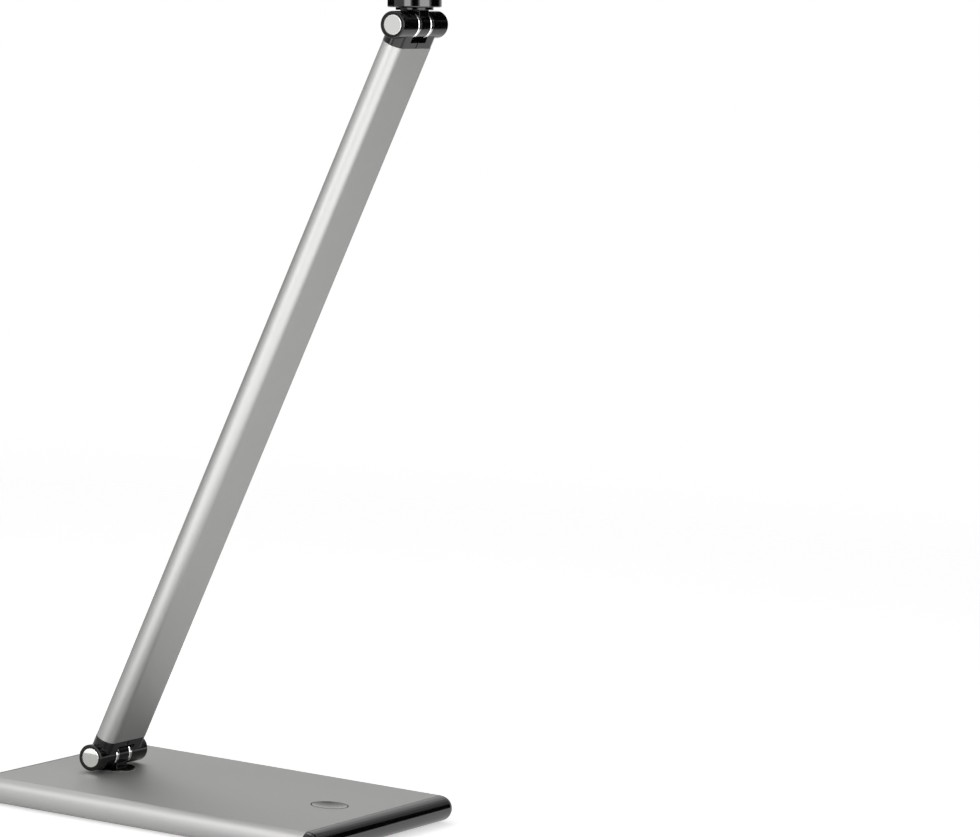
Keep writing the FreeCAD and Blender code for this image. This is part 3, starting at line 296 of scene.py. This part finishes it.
def lead_sheath():
    # soft PVC sheath
    return surface("PVC_lead_sheath", "#2B2B2B", 0.45, 1.0, 0.01)


def strip_board():
    # aluminium-backed board under white solder mask
    return surface("Board_white_solder_mask", "#ECECE8", 0.4, 0.8, 0.004)


def led_phosphor():
    # silicone filled with yellow phosphor over each chip
    return surface("Silicone_yellow_phosphor", "#E9CF4A", 0.35, 0.4, 0.01)


def white_reflector():
    # folded sheet, matte white powder coat
    return surface("Sheet_folded_white_powder_coat", "#F0F0EC", 0.6, 0.6, 0.02)


def opal_acrylic():
    # extruded opal acrylic, frosted on its lower face: milky, no clear view of the chips
    return surface("Acrylic_opal_frosted", "#F1F1EC", 0.42, 0.8, 0.006, swing=0.03,
                   IOR=1.49, Subsurface_Weight=0.3, Subsurface_Scale=2 * MM)


FINISHES = {
    "satin_aluminium": satin_aluminium(),
    "gloss_black": gloss_black(),
    "ballast_steel": ballast_steel(),
    "zinc_steel": zinc_steel(),
    "spring_steel": spring_steel(),
    "black_rubber": black_rubber(),
    "black_plastic": black_plastic(),
    "slide_plastic": slide_plastic(),
    "circuit_board": circuit_board(),
    "conductive_foam": conductive_foam(),
    "black_lacquer": black_lacquer(),
    "lead_sheath": lead_sheath(),
    "bright_chrome": bright_chrome(),
    "satin_chrome": satin_chrome(),
    "strip_board": strip_board(),
    "led_phosphor": led_phosphor(),
    "white_reflector": white_reflector(),
    "opal_acrylic": opal_acrylic(),
}
# the dish's finish carries painted shade: its colour is darker than the aluminium it is made of
DISH_FINISH_PAINTED_SHADE = turned_aluminium_painted_shade()
HOUSING_FINISH = piano_black()


def paint_frame():
    """Every CAD node gets the finish of its slot, also where a piece stands for it."""
    for node, piece in NODES.items():
        piece.data.materials.clear()
        piece.data.materials.append(FINISHES[SLOT_OF[node]])


# ---------------------------------------------------------------- pieces
def seat(piece, node, finish=None):
    """The piece rides the node's body, stands for the node and takes its slot's finish."""
    piece.data.materials.clear()
    piece.data.materials.append(finish or FINISHES[SLOT_OF[node]])
    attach(piece, BODY_OF[node])
    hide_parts(node)
    return piece


def new_piece(name, mesh):
    piece = bpy.data.objects.new(name, mesh)
    bpy.context.scene.collection.objects.link(piece)
    return piece


def middle_of(node):
    low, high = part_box(node)
    return (low + high) / 2


def soften(piece, edge):
    """Breaks the sharp edges and lets the large faces set the shading of the small ones."""
    bevel = piece.modifiers.new("Broken_edges", "BEVEL")
    bevel.width = edge
    bevel.segments = BEVEL_STEPS
    bevel.limit_method = "ANGLE"
    bevel.angle_limit = BEVEL_FROM
    bevel.use_clamp_overlap = False
    shading = piece.modifiers.new("Large_faces_lead", "WEIGHTED_NORMAL")
    shading.keep_sharp = True
    return piece


def merged_copy(node, name):
    """A clean mesh from a CAD node's loose triangles, flat areas made whole again."""
    source = bmesh.new()
    source.from_mesh(NODES[node].data)
    bmesh.ops.remove_doubles(source, verts=source.verts, dist=SAME_POINT)
    bmesh.ops.dissolve_limit(source, angle_limit=SAME_PLANE, verts=source.verts, edges=source.edges)
    source.verts.index_update()
    points = [vert.co.copy() for vert in source.verts]
    faces = [[vert.index for vert in face.verts] for face in source.faces]
    source.free()
    mesh = bpy.data.meshes.new(name)
    mesh.from_pydata(points, [], faces)
    mesh.shade_smooth()
    return mesh


def sawn_profile(node, along):
    """A profile whose sawn ends stop just short of its caps, so that a fine seam shows."""
    name = node + "_finished"
    mesh = merged_copy(node, name)
    runs = [vert.co.dot(along) for vert in mesh.vertices]
    for vert, run in zip(mesh.vertices, runs):
        if run > max(runs) - SAME_PLACE:
            vert.co -= along * END_SEAM
        elif run < min(runs) + SAME_PLACE:
            vert.co += along * END_SEAM
    return soften(seat(new_piece(name, mesh), node), SAWN_EDGE)


def finished_part(node, edge, finish=None, shy=0.0):
    """A CAD part as it leaves its workshop: same shape, with broken edges and its finish.

    A cap is moulded a hair shy of the profile that it closes, which shows as a fine seam.
    """
    name = node + "_finished"
    mesh = merged_copy(node, name)
    low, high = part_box(node)
    middle = (low + high) / 2
    for vert in mesh.vertices:
        for axis in range(3):
            scale = 1 - 2 * shy / (high[axis] - low[axis])
            vert.co[axis] = middle[axis] + (vert.co[axis] - middle[axis]) * scale
    return soften(seat(new_piece(name, mesh), node, finish), edge)


# ---------------------------------------------------------------- geometry node trees
def new_tree(name, sizes):
    """An empty geometry node tree with these named sizes as inputs, and its two end nodes."""
    tree = bpy.data.node_groups.new(name, "GeometryNodeTree")
    tree.interface.new_socket("Geometry", in_out="OUTPUT", socket_type="NodeSocketGeometry")
    for size, kind in sizes.items():
        tree.interface.new_socket(size, in_out="INPUT", socket_type=kind)
    return tree, add(tree, "NodeGroupInput")


def close_tree(tree, geometry, finish):
    """Realises the instances, sets the finish and hands the result on."""
    real = add(tree, "GeometryNodeRealizeInstances", {"Geometry": geometry})
    painted = add(tree, "GeometryNodeSetMaterial", {
        "Geometry": real.outputs["Geometry"],
        "Material": finish,
    })
    add(tree, "NodeGroupOutput", {"Geometry": painted.outputs["Geometry"]})


def grown_mesh(name, tree, values):
    """Runs a tree on an empty object and keeps what it makes as a plain mesh."""
    seed = new_piece(name + "_seed", bpy.data.meshes.new(name + "_seed"))
    growth = seed.modifiers.new("Growth", "NODES")
    growth.node_group = tree
    for item in tree.interface.items_tree:
        if item.item_type == "SOCKET" and item.in_out == "INPUT":
            growth[item.identifier] = values[item.name]
    bpy.context.view_layer.update()
    depsgraph = bpy.context.evaluated_depsgraph_get()
    mesh = bpy.data.meshes.new_from_object(seed.evaluated_get(depsgraph), depsgraph=depsgraph)
    mesh.name = name
    bpy.data.objects.remove(seed)
    mesh.shade_smooth()
    return mesh


def rounded_outline(tree, width, thickness, steps):
    """A flat bar's outline whose two short sides are full half-rounds."""
    bar = add(tree, "GeometryNodeCurvePrimitiveQuadrilateral", {"Width": width, "Height": thickness})
    radius = add(tree, "ShaderNodeMath", {0: thickness, 1: HALF_ROUND}, operation="MULTIPLY")
    return add(tree, "GeometryNodeFilletCurve", {
        "Curve": bar.outputs["Curve"],
        "Count": steps,
        "Radius": radius.outputs["Value"],
    }, mode="POLY")


def extrusion_tree(finish):
    """A hollow flat profile with half-round edges, sawn square, from Z = 0 upwards."""
    tree, sizes = new_tree("Round_edged_extrusion", {
        "Width": "NodeSocketFloat",
        "Thickness": "NodeSocketFloat",
        "Wall": "NodeSocketFloat",
        "Length": "NodeSocketFloat",
        "Arc Steps": "NodeSocketInt",
    })
    twice_wall = add(tree, "ShaderNodeMath", {0: sizes.outputs["Wall"], 1: 2.0}, operation="MULTIPLY")
    inner = [add(tree, "ShaderNodeMath", {0: sizes.outputs[side], 1: twice_wall.outputs["Value"]},
                 operation="SUBTRACT").outputs["Value"] for side in ("Width", "Thickness")]
    steps = sizes.outputs["Arc Steps"]
    outside = rounded_outline(tree, sizes.outputs["Width"], sizes.outputs["Thickness"], steps)
    inside = rounded_outline(tree, inner[0], inner[1], steps)
    section = add(tree, "GeometryNodeJoinGeometry")
    tree.links.new(outside.outputs["Curve"], section.inputs["Geometry"])
    tree.links.new(inside.outputs["Curve"], section.inputs["Geometry"])
    end = add(tree, "GeometryNodeFillCurve", {"Curve": section.outputs["Geometry"]}, mode="NGONS")
    drawn = add(tree, "GeometryNodeExtrudeMesh", {
        "Mesh": end.outputs["Mesh"],
        "Offset": (0.0, 0.0, 1.0),
        "Offset Scale": sizes.outputs["Length"],
        "Individual": False,
    }, mode="FACES")
    foot = add(tree, "GeometryNodeFlipFaces", {"Mesh": end.outputs["Mesh"]})
    both = add(tree, "GeometryNodeJoinGeometry")
    tree.links.new(drawn.outputs["Mesh"], both.inputs["Geometry"])
    tree.links.new(foot.outputs["Mesh"], both.inputs["Geometry"])
    closed = add(tree, "GeometryNodeMergeByDistance", {
        "Geometry": both.outputs["Geometry"],
        "Distance": SAME_POINT,
    })
    close_tree(tree, closed.outputs["Geometry"], finish)
    return tree


def chip_row_tree(finish):
    """A straight row of chips, each a low block with a domed drop of phosphor under it."""
    tree, sizes = new_tree("Chip_row", {
        "Count": "NodeSocketInt",
        "Pitch": "NodeSocketFloat",
        "Block": "NodeSocketVector",
        "Dome": "NodeSocketVector",
        "Dome Drop": "NodeSocketFloat",
    })
    offset = add(tree, "ShaderNodeCombineXYZ", {"X": sizes.outputs["Pitch"]})
    row = add(tree, "GeometryNodeMeshLine", {
        "Count": sizes.outputs["Count"],
        "Offset": offset.outputs["Vector"],
    }, mode="OFFSET")
    block = add(tree, "GeometryNodeMeshCube", {"Size": sizes.outputs["Block"]})
    dome = add(tree, "GeometryNodeMeshUVSphere", {
        "Segments": DOME_SEGMENTS,
        "Rings": DOME_RINGS,
        "Radius": 1.0,
    })
    drop = add(tree, "ShaderNodeCombineXYZ", {"Z": sizes.outputs["Dome Drop"]})
    drop_of_phosphor = add(tree, "GeometryNodeTransform", {
        "Geometry": dome.outputs["Mesh"],
        "Translation": drop.outputs["Vector"],
        "Scale": sizes.outputs["Dome"],
    })
    chip = add(tree, "GeometryNodeJoinGeometry")
    tree.links.new(block.outputs["Mesh"], chip.inputs["Geometry"])
    tree.links.new(drop_of_phosphor.outputs["Geometry"], chip.inputs["Geometry"])
    placed = add(tree, "GeometryNodeInstanceOnPoints", {
        "Points": row.outputs["Mesh"],
        "Instance": chip.outputs["Geometry"],
    })
    close_tree(tree, placed.outputs["Instances"], finish)
    return tree


# ---------------------------------------------------------------- base
def dress_base():
    sawn_profile("base_profile", Vector((1, 0, 0)))
    for node in ("front_cap", "rear_cap"):
        finished_part(node, CAP_EDGE, shy=CAP_SHY)
    finished_part("touch_ring", TURNED_EDGE)
    finished_part("touch_dish", TURNED_EDGE, DISH_FINISH_PAINTED_SHADE)
    finished_part("base_pad", TURNED_EDGE)


# ---------------------------------------------------------------- hinges
def dress_hinges():
    for node in ("base_knuckle", "elbow_knuckle", "lower_fitting", "upper_fitting"):
        finished_part(node, MOULDED_EDGE)
    for node in ("lower_rings", "upper_rings", "lower_end_discs", "upper_end_discs"):
        finished_part(node, TURNED_EDGE)


# ---------------------------------------------------------------- arm
def dress_arm():
    """The arm's extrusion, grown along the line from the lower hinge to the upper one."""
    foot = middle_of("lower_hinge_bolt")
    elbow = middle_of("upper_hinge_bolt")
    along = (elbow - foot).normalized()
    across = Vector((0, 1, 0))
    through = across.cross(along)
    rises = [(vert.co - foot).dot(along) for vert in NODES["arm_profile"].data.vertices]
    depths = [(vert.co - foot).dot(through) for vert in NODES["arm_profile"].data.vertices]
    low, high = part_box("arm_profile")
    mesh = grown_mesh("arm_extrusion", extrusion_tree(FINISHES["satin_aluminium"]), {
        "Width": high.y - low.y,
        "Thickness": max(depths) - min(depths),
        "Wall": PROFILE_WALL,
        "Length": max(rises) - min(rises),
        "Arc Steps": ARC_STEPS,
    })
    start = foot + along * min(rises) + through * (min(depths) + max(depths)) / 2
    turn = Matrix((across, -through, along)).transposed().to_4x4()
    mesh.transform(Matrix.Translation(start) @ turn)
    soften(seat(new_piece("arm_extrusion", mesh), "arm_profile"), SAWN_EDGE)


# ---------------------------------------------------------------- light bar
def dress_light_bar():
    finished_part("swivel_housing", MOULDED_EDGE, HOUSING_FINISH)
    sawn_profile("bar_profile", HEAD_ALONG)
    for node in ("bar_front_cap", "bar_rear_cap"):
        finished_part(node, CAP_EDGE, shy=CAP_SHY)
    finished_part("diffuser", TURNED_EDGE)
    dress_chips()


def dress_chips():
    """The row of chips, grown along the bar, which leans with the head."""
    points = [vert.co for vert in NODES["light_chips"].data.vertices]
    runs = [point.dot(HEAD_ALONG) for point in points]
    heights = [point.dot(HEAD_UP) for point in points]
    mesh = grown_mesh("light_chip_row", chip_row_tree(FINISHES["led_phosphor"]), {
        "Count": CHIP_COUNT,
        "Pitch": (max(runs) - min(runs) - CHIP_LONG) / (CHIP_COUNT - 1),
        "Block": (CHIP_LONG, CHIP_WIDE, CHIP_HIGH),
        "Dome": (CHIP_WIDE * DOME_ROUND, CHIP_WIDE * DOME_ROUND, CHIP_DOME),
        "Dome Drop": -CHIP_HIGH / 2,
    })
    start = HEAD_ALONG * (min(runs) + CHIP_LONG / 2) + HEAD_UP * (max(heights) - CHIP_HIGH / 2)
    turn = Matrix((HEAD_ALONG, Vector((0, 1, 0)), HEAD_UP)).transposed().to_4x4()
    mesh.transform(Matrix.Translation(start) @ turn)
    seat(new_piece("light_chip_row", mesh), "light_chips")


# ---------------------------------------------------------------- studio
def seen_as_background(tree):
    """One for camera rays, reflections and glass, nought for light on its way to a surface."""
    path = add(tree, "ShaderNodeLightPath")
    mirrored = add(tree, "ShaderNodeMath", {
        0: path.outputs["Is Camera Ray"],
        1: path.outputs["Is Glossy Ray"],
    }, operation="MAXIMUM")
    seen = add(tree, "ShaderNodeMath", {
        0: mirrored.outputs["Value"],
        1: path.outputs["Is Transmission Ray"],
    }, operation="MAXIMUM")
    return seen.outputs["Value"]


def studio_world():
    """White to the camera, in reflections and through glass, softer as a source of light."""
    world = bpy.data.worlds.new("Studio")
    world.use_nodes = True
    tree = world.node_tree
    tree.nodes.clear()
    dim = add(tree, "ShaderNodeBackground", {"Color": linear("#FFFFFF"), "Strength": AMBIENT})
    white = add(tree, "ShaderNodeBackground", {"Color": linear("#FFFFFF"), "Strength": 1.0})
    mixed = add(tree, "ShaderNodeMixShader", {
        0: seen_as_background(tree),
        1: dim.outputs["Background"],
        2: white.outputs["Background"],
    })
    add(tree, "ShaderNodeOutputWorld", {"Surface": mixed.outputs["Shader"]})
    bpy.context.scene.world = world


def studio_floor():
    """A plain white floor that fades into the backdrop with the distance."""
    corners = [Vector((x, y, 0)) * FLOOR_FAR for x, y in ((-1, -1), (1, -1), (1, 1), (-1, 1))]
    mesh = bpy.data.meshes.new("floor")
    mesh.from_pydata(corners, [], [(0, 1, 2, 3)])
    floor = new_piece("floor", mesh)
    material = bpy.data.materials.new("Paper_sweep_white")
    material.use_nodes = True
    tree = material.node_tree
    tree.nodes.clear()
    where = add(tree, "ShaderNodeTexCoord")
    away = add(tree, "ShaderNodeVectorMath", {0: where.outputs["Object"]}, operation="LENGTH")
    fade = add(tree, "ShaderNodeMapRange", {
        "Value": away.outputs["Value"],
        "From Min": FLOOR_NEAR,
        "From Max": FLOOR_FAR,
    }, interpolation_type="SMOOTHSTEP")
    paper = add(tree, "ShaderNodeBsdfDiffuse", {"Color": linear(FLOOR_WHITE)})
    lift = add(tree, "ShaderNodeMath", {
        0: seen_as_background(tree),
        1: FLOOR_LIFT,
    }, operation="MULTIPLY")
    glow = add(tree, "ShaderNodeEmission", {"Strength": lift.outputs["Value"]})
    lit = add(tree, "ShaderNodeAddShader", {0: paper.outputs["BSDF"], 1: glow.outputs["Emission"]})
    clear = add(tree, "ShaderNodeBsdfTransparent")
    mixed = add(tree, "ShaderNodeMixShader", {
        0: fade.outputs["Result"],
        1: lit.outputs["Shader"],
        2: clear.outputs["BSDF"],
    })
    add(tree, "ShaderNodeOutputMaterial", {"Surface": mixed.outputs["Shader"]})
    mesh.materials.append(material)


def round_the_lamp(around, away, height):
    """A place this far from the lamp's middle, at this bearing from +X and height."""
    bearing = math.radians(around)
    return Vector((LAMP_MIDDLE.x + away * math.cos(bearing),
                   LAMP_MIDDLE.y + away * math.sin(bearing),
                   height))


def softbox(name, place, width, height, on_matt, in_gloss):
    """A flat, even light with one brightness for matt surfaces and one for reflections."""
    outwards = (place - LAMP_MIDDLE).normalized()
    kinds = (("diffuse", "glossy", on_matt, BOX_DEPTH), ("glossy", "diffuse", in_gloss, 0.0))
    for lit, unlit, radiance, behind in kinds:
        light = bpy.data.lights.new(name + "_" + lit, "AREA")
        light.shape = "RECTANGLE"
        light.size = width
        light.size_y = height
        light.energy = radiance * math.pi * width * height
        box = bpy.data.objects.new(light.name, light)
        bpy.context.scene.collection.objects.link(box)
        box.location = place + outwards * behind
        box.rotation_euler = (LAMP_MIDDLE - place).to_track_quat("-Z", "Y").to_euler()
        setattr(box, "visible_" + unlit, False)


def card(name, start, end, first, last, tone):
    """A card that only reflections see, bent round the lamp from one bearing to another.

    Black ones give the gloss black its depth.  The first and last edges are given as a
    distance from the lamp's middle and a height.
    """
    rows = []
    for step in range(CARD_STEPS + 1):
        around = start + (end - start) * step / CARD_STEPS
        rows += [round_the_lamp(around, *first), round_the_lamp(around, *last)]
    faces = [(2 * i, 2 * i + 2, 2 * i + 3, 2 * i + 1) for i in range(CARD_STEPS)]
    mesh = bpy.data.meshes.new(name)
    mesh.from_pydata(rows, [], faces)
    material = bpy.data.materials.new(name)
    material.use_nodes = True
    tree = material.node_tree
    tree.nodes.clear()
    glow = add(tree, "ShaderNodeEmission", {"Strength": tone})
    add(tree, "ShaderNodeOutputMaterial", {"Surface": glow.outputs["Emission"]})
    mesh.materials.append(material)
    sheet = new_piece(name, mesh)
    for ray in ("camera", "diffuse", "shadow"):
        setattr(sheet, "visible_" + ray, False)


def studio_lights():
    """Upright softboxes beside the camera, two high ones, and cards round the lamp."""
    for name, around, away, middle_high, *sizes_and_levels in SOFTBOXES:
        softbox(name, round_the_lamp(around, away, middle_high), *sizes_and_levels)
    for values in CARDS:
        card(*values)


def photo_camera():
    """The photograph's own viewpoint, found from the lamp's measured edges."""
    around, above, roll = CAMERA_AROUND, CAMERA_ABOVE, CAMERA_ROLL
    back = Vector((math.sin(around) * math.cos(above),
                   -math.cos(around) * math.cos(above),
                   math.sin(above)))
    level = Vector((math.cos(around), math.sin(around), 0))
    upright = back.cross(level)
    right = level * math.cos(roll) + upright * math.sin(roll)
    up = upright * math.cos(roll) - level * math.sin(roll)
    flange = middle_of("slide_disc")
    foot = Vector((flange.x, 0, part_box("base_profile")[1].z))
    data = bpy.data.cameras.new("Photo")
    data.sensor_width = SENSOR_WIDTH
    data.lens = LENS
    data.clip_start = CLIP_START
    camera = bpy.data.objects.new("Photo", data)
    bpy.context.scene.collection.objects.link(camera)
    place = foot + right * PHOTO_MIDDLE[0] + up * PHOTO_MIDDLE[1] + back * CAMERA_AWAY
    camera.matrix_world = Matrix.Translation(place) @ Matrix((right, up, back)).transposed().to_4x4()
    bpy.context.scene.camera = camera


paint_frame()
dress_base()
dress_hinges()
dress_arm()
dress_light_bar()
studio_world()
studio_floor()
studio_lights()
photo_camera()
bpy.context.scene.view_settings.view_transform = "Standard"

bpy.context.view_layer.update()
